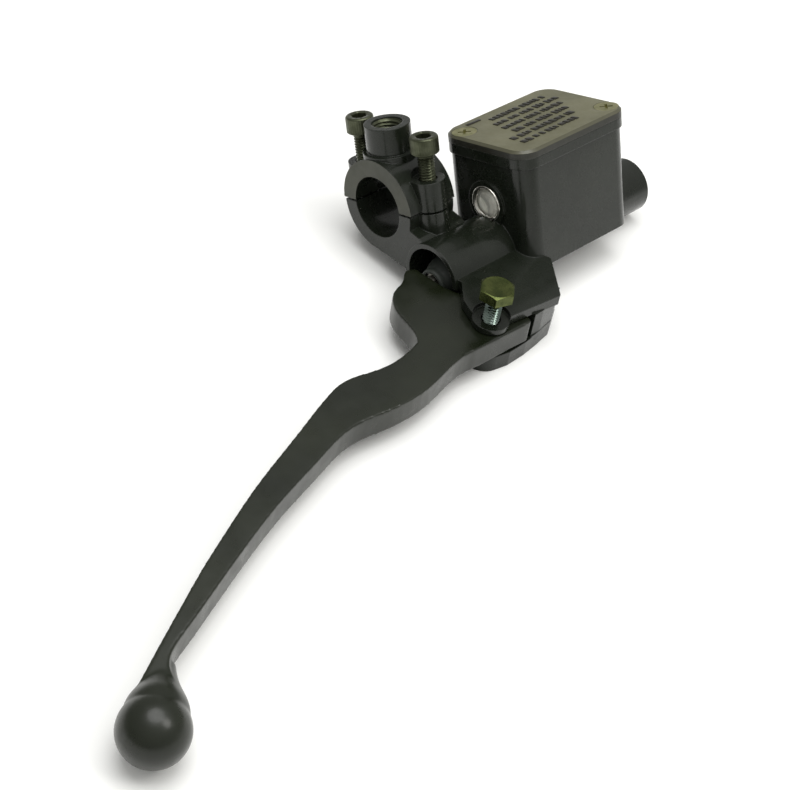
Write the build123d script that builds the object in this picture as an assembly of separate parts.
from build123d import *
from math import cos, radians, sin
import os

# Front brake master cylinder for a motorcycle, right-hand side, millimetres.
# The origin is the centre of the handlebar clamp bore.
# +X runs outboard along the handlebar, +Y points forward, +Z is square to the reservoir lid.
# The cylinder bore is parallel to X. The lever swings in a plane that dips forward by lever_dip.

# ---- handlebar clamp ----
bar_radius = 11.1
clamp_half_width = 10.4
cap_ring_radius = 17.2
lower_ring_radius = 16.5
split_gap = 0.7
clamp_screw_y = 16.2
clamp_column_radius = 5.9
cap_column_top = 10.8
mirror_boss_x = 0.4
mirror_boss_y = -1.3
mirror_boss_radius = 8.1
mirror_boss_top = 27.7
mirror_hole_bottom = 13.2
mirror_thread_radius = 4.375

# ---- M6 clamp screws, shown backed out as on a new part ----
m6_radius = 3.0
m6_clearance_radius = 3.3
socket_head_radius = 5.0
socket_head_height = 6.0
socket_half_width = 2.5
socket_depth = 3.2
rear_screw_top = 27.4
front_screw_top = 26.2
clamp_screw_tip = -8.0
clamp_column_bottom = -13.0
tapped_hole_bottom = -11.5

# ---- cylinder ----
cyl_y = 25.0
cyl_z = -22.4
barrel_radius = 10.3
outlet_end_x = -91.7
outlet_thread_radius = 4.375
outlet_depth = 11.7
bore_radius = 6.35
bore_end_x = -66.0
mouth_x = 0.0
mouth_recess_radius = 8.2
mouth_recess_depth = 5.0

# ---- lever plane ----
lever_dip = 20.0
pivot_x = 13.2
pivot_a = 29.2
slot_half_height = 4.9
upper_ear_top = 8.5
lower_ear_bottom = -11.0
hood_edge_x = 11.4
hood_radius = 12.3
hood_wall = 1.7
hood_a = -0.85
hood_b = 2.35
upper_ear_radius = 6.4
spot_face_depth = 1.6
lower_ear_radius = 6.8
ear_web_x = -2.4

# ---- pivot bolt, shown backed out as on a new part ----
bolt_head_half_width = 5.5
bolt_head_height = 4.0
bolt_head_lift = 8.0
bolt_head_turn = 20
bolt_tip_inset = 0.4

# ---- lever ----
lever_half_thick = 4.5
lever_hole_radius = 3.06
ball_radius = 10.2
ball_x = 195.0
ball_a = 87.6
neck_turn = 45
neck_outline = [(-21, 3.0), (-17, 4.0), (-13, 5.7), (-9, 7.9), (-5.0, 8.9)]

# ---- piston and dust boot ----
rod_radius = 4.0
rod_end_x = 10.2
nose_radius = 3.0
nose_end_x = 13.2
boot_start_x = -2.5
boot_shoulder_x = 5.5
boot_end_x = 11.6
boot_radius = 8.15
boot_tip_radius = 5.2
boot_wall = 1.2

# ---- reservoir ----
res_x_min = -71.5
res_x_max = -17.4
res_y_min = 5.2
res_y_max = 45.5
res_corner = 7.0
lid_top = 19.3
lid_thick = 3.0
rim_height = 3.7
wall_inset = 0.8
res_bottom = -24.7
res_floor = -9.0
res_wall = 3.0
ledge_depth = 2.0
ledge_width = 1.3
lid_chamfer = 0.9
lid_screw_places = [(-22.6, 12.4), (-66.6, 39.0)]
lid_boss_radius = 4.4
lid_screw_radius = 2.0
lid_screw_length = 9.0
under_pocket_top = -12.6

# ---- sight glass, on the outboard end wall ----
sight_y = 25.5
sight_z = -2.9
sight_boss_radius = 8.3
sight_boss_height = 1.0
sight_ring_radius = 6.55
sight_hole_radius = 5.2
sight_recess = 2.4

# ---- worked out ----
dip = radians(lever_dip)
lid_bottom = lid_top - lid_thick
rim_bottom = lid_bottom - rim_height
res_mid_x = (res_x_min + res_x_max) / 2
res_mid_y = (res_y_min + res_y_max) / 2
res_len = res_x_max - res_x_min
res_wide = res_y_max - res_y_min
wall_face_x = res_x_max - wall_inset
sight_face_x = wall_face_x + sight_boss_height
lever_plane = Plane(origin=(0, cyl_y, cyl_z), x_dir=(1, 0, 0), z_dir=(0, sin(dip), cos(dip)))
hood_plane = Plane(lever_plane.origin, x_dir=lever_plane.y_dir, z_dir=(1, 0, 0))


# ---- helpers ----

def rod_x(radius, x_from, x_to, y=cyl_y, z=cyl_z):
    """A round bar along X."""
    return extrude(Plane.YZ.offset(x_from) * Pos(y, z) * Circle(radius), amount=x_to - x_from)


def tube_x(outer, inner, x_from, x_to, y=cyl_y, z=cyl_z):
    """A round tube along X."""
    return rod_x(outer, x_from, x_to, y, z) - rod_x(inner, x_from - 1, x_to + 1, y, z)


def rod_z(radius, z_from, z_to, x, y):
    """A round bar along Z."""
    return extrude(Plane.XY.offset(z_from) * Pos(x, y) * Circle(radius), amount=z_to - z_from)


def lever_slab(outline, b_from, b_to):
    """A plate in the lever plane, between two heights above the cylinder axis."""
    return extrude(lever_plane.offset(b_from) * outline, amount=b_to - b_from)


def pivot_disc(radius, b_from, b_to):
    """A round bar on the lever pivot's axis."""
    return lever_slab(Pos(pivot_x, pivot_a) * Circle(radius), b_from, b_to)


def profile(points, rounding=0):
    """A closed flat outline through straight edges, with its corners rounded."""
    face = make_face(Polyline(*points, close=True))
    return fillet(face.vertices(), rounding) if rounding else face


def reservoir_block(z_from, z_to, inset):
    """A round-cornered block that follows the reservoir's outline."""
    outline = RectangleRounded(res_len - 2 * inset, res_wide - 2 * inset, max(res_corner - inset, 1.5))
    return extrude(Plane.XY.offset(z_from) * Pos(res_mid_x, res_mid_y) * outline, amount=z_to - z_from)


def lid_bosses(radius, z_from, z_to):
    """Round bars at the two lid screws."""
    bars = [rod_z(radius, z_from, z_to, x, y) for x, y in lid_screw_places]
    return bars[0] + bars[1]


# ---- casting ----

def reservoir_shell():
    outside = reservoir_block(res_bottom, rim_bottom, wall_inset)
    outside += reservoir_block(rim_bottom, lid_bottom, 0)
    outside += rod_x(sight_boss_radius, wall_face_x - 1, sight_face_x, sight_y, sight_z)
    return outside


def reservoir_cuts():
    wall = wall_inset + res_wall
    inside = reservoir_block(res_floor, lid_bottom + 1, wall)
    inside += reservoir_block(lid_bottom - ledge_depth, lid_bottom + 1, wall - ledge_width)
    inside -= lid_bosses(lid_boss_radius, res_floor - 1, lid_bottom + 2)
    pocket_x = Pos(res_mid_x, 0, (res_bottom - 1 + under_pocket_top) / 2)
    pocket_len = res_len - 2 * wall
    pocket_high = under_pocket_top - res_bottom + 1
    rear_wide = cyl_y - barrel_radius - res_y_min - wall
    front_wide = res_y_max - wall - cyl_y - barrel_radius
    rear = pocket_x * Pos(0, res_y_min + wall + rear_wide / 2) * Box(pocket_len, rear_wide, pocket_high)
    front = pocket_x * Pos(0, res_y_max - wall - front_wide / 2) * Box(pocket_len, front_wide, pocket_high)
    return inside + rear + front


def clamp_lower_half():
    ring = rod_x(lower_ring_radius, -clamp_half_width, clamp_half_width, 0, 0)
    for side in (-1, 1):
        column_y = side * clamp_screw_y
        ring += rod_z(clamp_column_radius, clamp_column_bottom, split_gap, 0, column_y)
        ring += Pos(0, column_y - side * 3, clamp_column_bottom / 2) * Box(
            2 * clamp_column_radius, 6, -clamp_column_bottom)
    web = profile([(-2.5, -16.3), (13, -20.8), (20, -30), (29, -24), (27, -13), (20, -7), (8, -2),
                   (-4, -8)])
    ring += extrude(Plane.YZ.offset(-clamp_half_width) * web, amount=2 * clamp_half_width)
    above_split = Pos(0, 0, 20 - split_gap / 2) * Box(60, 60, 40)
    return ring - above_split


def ear_plates():
    upper = profile([(-25.4, 20.2), (-13.7, 35.8), (8.4, 33.6), (19.3, 30.8), (17.6, 23.4),
                     (15.8, 18.4), (9.9, 11.6), (hood_edge_x, 4), (-20, 4)], 0.8)
    upper_plate = lever_slab(upper, slot_half_height - 0.4, upper_ear_top)
    upper_plate += pivot_disc(upper_ear_radius, slot_half_height, upper_ear_top)
    lower = profile([(-17, 4), (-20.0, 30.6), (-14.5, 34.0), (-6.7, 35.5), (0.5, 36.5), (8.8, 36.9),
                     (14.5, 35.9), (18.6, 32.8), (19.8, 29.5), (19.0, 22.4), (8, 4)], 0.8)
    lower_plate = lever_slab(lower, lower_ear_bottom, 0.4 - slot_half_height)
    lower_plate += pivot_disc(lower_ear_radius, lower_ear_bottom, -slot_half_height)
    wall = profile([(-17, 4), (-19.8, 30.6), (-14.5, 33.9), (-6.7, 35.4), (ear_web_x, 35.6),
                    (ear_web_x, 4)])
    return upper_plate + lower_plate + lever_slab(wall, lower_ear_bottom, slot_half_height + 0.2)


def hood_rod(radius, x_from, x_to):
    """A round bar along X, centred on the hood."""
    return extrude(hood_plane.offset(x_from) * Pos(hood_a, hood_b) * Circle(radius), amount=x_to - x_from)


def lever_slot():
    room = profile([(ear_web_x, 60), (ear_web_x, 23), (mouth_x, 19), (mouth_x, -9.8), (60, -9.8), (60, 60)])
    return lever_slab(room, -slot_half_height, slot_half_height)


def cylinder_cuts():
    cuts = rod_x(bore_radius, bore_end_x, mouth_x + 1)
    cuts += rod_x(mouth_recess_radius, mouth_x - mouth_recess_depth, mouth_x + 1)
    cuts += rod_x(mouth_recess_radius + 0.6, mouth_x - 3.7, mouth_x - 2.5)
    cuts += rod_x(1.5, outlet_end_x, bore_end_x + 1)
    cuts += rod_x(outlet_thread_radius, outlet_end_x - 1, outlet_end_x + outlet_depth)
    cuts += rod_z(0.6, cyl_z, res_floor + 1, -41.0, cyl_y)
    cuts += rod_z(2.0, cyl_z, res_floor + 1, -24.5, cyl_y)
    return cuts


def body_casting():
    body = reservoir_shell() + clamp_lower_half() + ear_plates()
    body += hood_rod(hood_radius, -20, hood_edge_x)
    body += rod_x(barrel_radius, outlet_end_x, mouth_x)
    body -= hood_rod(hood_radius - hood_wall, mouth_x, 20)
    body -= lever_slot()
    body -= reservoir_cuts()
    body -= cylinder_cuts()
    body -= rod_x(bar_radius, -clamp_half_width - 0.1, clamp_half_width + 0.1, 0, 0)
    for side in (-1, 1):
        body -= rod_z(m6_radius, tapped_hole_bottom, 5, 0, side * clamp_screw_y)
    body -= lid_bosses(lid_screw_radius, lid_bottom - lid_screw_length - 3, lid_bottom + 1)
    body -= pivot_disc(m6_clearance_radius, slot_half_height - 1, upper_ear_top + 1)
    body -= pivot_disc(m6_radius, lower_ear_bottom - 1, -slot_half_height + 1)
    body -= pivot_disc(upper_ear_radius, upper_ear_top - spot_face_depth, upper_ear_top + 1)
    body -= rod_x(sight_ring_radius + 0.05, sight_face_x - sight_recess, sight_face_x + 1, sight_y, sight_z)
    body -= rod_x(sight_hole_radius, sight_face_x - 8, sight_face_x, sight_y, sight_z)
    return body


# ---- clamp cap and its screws ----

def clamp_cap():
    cap = rod_x(cap_ring_radius, -clamp_half_width, clamp_half_width, 0, 0)
    for side in (-1, 1):
        column_y = side * clamp_screw_y
        cap += rod_z(clamp_column_radius, 0, cap_column_top, 0, column_y)
        cap += Pos(0, column_y - side * 3, cap_column_top / 2) * Box(
            2 * clamp_column_radius, 6, cap_column_top)
    cap += rod_z(mirror_boss_radius, 8, mirror_boss_top, mirror_boss_x, mirror_boss_y)
    cap += rod_z(mirror_boss_radius + 1.4, 8, cap_ring_radius + 0.8, mirror_boss_x, mirror_boss_y)
    cap -= Pos(0, 0, split_gap / 2 - 20) * Box(60, 60, 40)
    cap -= rod_x(bar_radius, -60, 60, 0, 0)
    cap -= rod_z(mirror_thread_radius, mirror_hole_bottom, mirror_boss_top + 1, mirror_boss_x, mirror_boss_y)
    for side in (-1, 1):
        cap -= rod_z(m6_clearance_radius, -1, cap_column_top + 8, 0, side * clamp_screw_y)
        cap -= rod_z(socket_head_radius + 0.6, cap_column_top, cap_column_top + 12, 0, side * clamp_screw_y)
    return cap


def socket_screw(y, top):
    head = rod_z(socket_head_radius, top - socket_head_height, top, 0, y)
    head = chamfer(head.edges().group_by(Axis.Z)[-1], 0.5)
    hexagon = RegularPolygon(socket_half_width, 6, major_radius=False)
    head -= extrude(Plane.XY.offset(top - socket_depth) * Pos(0, y) * hexagon, amount=socket_depth + 1)
    return head + rod_z(m6_radius, clamp_screw_tip, top - socket_head_height, 0, y)


# ---- reservoir lid group ----

def reservoir_cover():
    lid = reservoir_block(lid_bottom, lid_top, 0)
    lid = chamfer(lid.edges().group_by(Axis.Z)[-1], lid_chamfer)
    lid -= lid_bosses(2.25, lid_bottom - 1, lid_top + 1)
    for x, y in lid_screw_places:
        lid -= Pos(x, y, lid_top - 1.2) * Cone(2.25, 4.65, 2.4)
    return lid


def cover_screw(x, y):
    head_top = lid_top - 0.1
    screw = Pos(x, y, head_top - 1.2) * Cone(lid_screw_radius, 4.4, 2.4)
    screw += rod_z(lid_screw_radius, lid_bottom - lid_screw_length, head_top - 2.3, x, y)
    for turn in (45, 135):
        screw -= Pos(x, y, head_top) * Rot(0, 0, turn) * Box(4.6, 0.9, 2.2)
    return screw


def diaphragm():
    wall = wall_inset + res_wall
    flange_bottom = lid_bottom - ledge_depth
    rubber = reservoir_block(flange_bottom, flange_bottom + 1.1, wall - ledge_width + 0.1)
    rubber += reservoir_block(flange_bottom - 7, flange_bottom + 1.1, wall + 3)
    rubber -= reservoir_block(flange_bottom - 6, flange_bottom + 2, wall + 4)
    for depth in (2.0, 4.4):
        pleat = reservoir_block(flange_bottom - depth - 1, flange_bottom - depth, wall + 2)
        pleat -= reservoir_block(flange_bottom - depth - 2, flange_bottom - depth + 1, wall + 4)
        rubber += pleat
    return rubber - lid_bosses(lid_boss_radius + 0.2, flange_bottom - 9, lid_bottom + 1)


def diaphragm_plate():
    wall = wall_inset + res_wall
    plate = reservoir_block(lid_bottom - 0.85, lid_bottom - 0.05, wall - ledge_width + 0.1)
    plate -= lid_bosses(lid_boss_radius + 0.2, lid_bottom - 3, lid_bottom + 1)
    for offset in (-7, 7):
        plate -= Pos(res_mid_x + offset, res_mid_y, lid_bottom) * Box(1.6, 12, 4)
    return plate


def splash_plate():
    plate = Pos(-33.4, cyl_y, res_floor + 2.0) * Box(23, 9, 1.0)
    for x in (-43.9, -22.9):
        plate += Pos(x, cyl_y, res_floor + 0.75) * Box(2.0, 9, 1.5)
    return plate


# ---- sight glass ----

def sight_ring():
    return tube_x(sight_ring_radius, 5.0, sight_face_x - 0.9, sight_face_x + 0.3, sight_y, sight_z)


def sight_lens():
    shoulder = sight_face_x - 0.95
    crown = rod_x(4.9, shoulder, sight_face_x + 0.5, sight_y, sight_z)
    crown = fillet(crown.edges().group_by(Axis.X)[-1], 1.2)
    return crown + rod_x(5.9, sight_face_x - 1.65, shoulder, sight_y, sight_z)


def sight_seal():
    return tube_x(6.4, 5.3, sight_face_x - sight_recess, sight_face_x - 1.7, sight_y, sight_z)


def sight_reflector():
    return rod_x(5.0, sight_face_x - sight_recess, sight_face_x - 1.8, sight_y, sight_z)


# ---- piston group ----

def piston():
    lands = [(2.5, -37.5, -33.5), (6.3, -34.0, -30.5), (4.6, -30.5, -16.5), (6.3, -16.5, -14.2),
             (3.8, -14.2, -10.2), (6.3, -10.2, -5.3), (rod_radius, -5.3, rod_end_x),
             (nose_radius, rod_end_x, nose_end_x)]
    shape = rod_x(*lands[0])
    for radius, x_from, x_to in lands[1:]:
        shape += rod_x(radius, x_from, x_to)
    return shape


def primary_cup():
    cup = tube_x(6.33, 2.5, -38.0, -34.0)
    return cup - tube_x(5.4, 3.6, -39.0, -36.0)


def secondary_cup():
    cup = tube_x(6.33, 3.8, -14.2, -10.4)
    return cup - tube_x(5.4, 4.7, -15.0, -12.4)


def return_spring():
    length = -38.2 - bore_end_x - 1.4
    turns = 8
    coil_radius = 4.6
    path = Helix(pitch=length / turns, height=length, radius=coil_radius)
    wire = sweep(Plane(origin=path @ 0, z_dir=path % 0) * Circle(0.6), path=path, is_frenet=True)
    return Pos(bore_end_x + 0.7, cyl_y, cyl_z) * Rot(0, 90, 0) * wire


def stop_washer():
    return tube_x(mouth_recess_radius - 0.05, 4.1, mouth_x - 4.95, mouth_x - 3.75)


def circlip():
    ring = tube_x(mouth_recess_radius + 0.5, 6.4, mouth_x - 3.65, mouth_x - 2.6)
    gap = Pos(mouth_x - 3, cyl_y, cyl_z - 7) * Box(4, 5, 6)
    return ring - gap


def dust_boot():
    """A rubber cone from the mouth to the piston rod, with one shallow fold."""
    ridge = (boot_start_x + 2.2, boot_radius)
    fold = (boot_start_x + 3.4, boot_radius - 0.9)
    swell = (boot_start_x + 4.6, boot_radius - 0.35)
    shoulder = (boot_shoulder_x, boot_radius - 0.6)
    outside = [(boot_start_x, boot_radius), ridge, fold, swell, shoulder,
               (boot_end_x - 2.2, boot_tip_radius), (boot_end_x, boot_tip_radius)]
    lip_radius = rod_radius + 0.02
    inside = [(boot_end_x, lip_radius), (boot_end_x - 2.6, lip_radius)]
    inside += [(x, r - boot_wall) for x, r in (shoulder, swell, fold, ridge, (boot_start_x, boot_radius))]
    section = make_face(Polyline(*outside, *inside, close=True))
    return Pos(0, cyl_y, cyl_z) * revolve(section, Axis.X)


# ---- lever group ----

def lever_outline():
    rear = [(39.6, 21.8), (45.5, 23.4), (54, 24.3), (63, 23.1), (71, 21.7), (79, 23.3), (97, 30.2),
            (120, 39.1), (143, 49.7), (156, 56.2), (168, 62.8), (180, 69.3), (190, 75.0), (200, 80.2)]
    front = [(187.0, 91.0), (185.3, 86.2), (183.6, 82.4), (182.6, 79.0), (180.8, 75.4), (176.8, 72.2),
             (170, 69.2), (158.4, 64.3), (138.8, 56), (118, 48.2),
             (99, 42.5), (86, 39), (78, 38.7), (71, 39.6), (63, 40.4), (55, 40.2), (46, 38.6), (36, 36.2),
             (26, 35.8)]
    arm = [(0.6, 36.6), (-0.4, 33.5), (1.2, 29), (5.2, 23.6), (9.8, 14), (12.8, 7), (13.6, 0), (14.1, -3)]
    tip = [(15.4, -6.2), (18.2, -6.6), (22.4, -3.6), (28, -1.5), (32.6, 2.4), (34.9, 7), (36, 13),
           (37.4, 18.4), (39.6, 21.8)]
    edges = Spline(*rear) + Line(rear[-1], front[0]) + Spline(*front)
    edges += Line(front[-1], arm[0]) + Spline(*arm) + Spline(arm[-1], *tip)
    return make_face(edges)


def neck_cone():
    """The flare between the blade and the ball, turned about the X axis with the ball at the origin."""
    start, end = neck_outline[0], neck_outline[-1]
    edges = Spline(*neck_outline) + Line(end, (end[0], 0)) + Line((end[0], 0), (start[0], 0))
    edges += Line((start[0], 0), start)
    return revolve(make_face(edges), Axis.X)


def lever():
    blade = lever_slab(lever_outline(), -lever_half_thick, lever_half_thick)
    blade += lever_plane * Pos(ball_x, ball_a, 0) * Sphere(ball_radius)
    blade += lever_plane * Pos(ball_x, ball_a, 0) * Rot(0, 0, neck_turn) * neck_cone()
    return blade - pivot_disc(lever_hole_radius, -20, 20)


def pivot_bolt():
    head_under = upper_ear_top + bolt_head_lift
    head_top = head_under + bolt_head_height
    hexagon = Rot(0, 0, bolt_head_turn) * RegularPolygon(bolt_head_half_width, 6, major_radius=False)
    head = lever_slab(Pos(pivot_x, pivot_a) * hexagon, head_under, head_top)
    crown_radius = 17.0
    head &= lever_plane * Pos(pivot_x, pivot_a, head_top + 0.9 - crown_radius) * Sphere(crown_radius)
    return head + pivot_disc(m6_radius, lower_ear_bottom + bolt_tip_inset, head_under)


def write_node(name, *solids):
    shape = solids[0] if len(solids) == 1 else Compound(children=list(solids))
    export_step(shape, os.path.join("parts", name + ".step"))


os.makedirs("parts", exist_ok=True)
write_node("body_casting", body_casting())
write_node("clamp_cap", clamp_cap())
rear_screw = socket_screw(-clamp_screw_y, rear_screw_top)
front_screw = socket_screw(clamp_screw_y, front_screw_top)
write_node("clamp_screws", rear_screw, front_screw)
write_node("reservoir_cover", reservoir_cover())
write_node("cover_screws", *[cover_screw(x, y) for x, y in lid_screw_places])
write_node("diaphragm", diaphragm())
write_node("diaphragm_plate", diaphragm_plate())
write_node("splash_plate", splash_plate())
write_node("sight_ring", sight_ring())
write_node("sight_lens", sight_lens())
write_node("sight_seal", sight_seal())
write_node("sight_reflector", sight_reflector())
write_node("piston", piston())
write_node("primary_cup", primary_cup())
write_node("secondary_cup", secondary_cup())
write_node("return_spring", return_spring())
write_node("stop_washer", stop_washer())
write_node("circlip", circlip())
write_node("dust_boot", dust_boot())
write_node("lever", lever())
write_node("pivot_bolt", pivot_bolt())
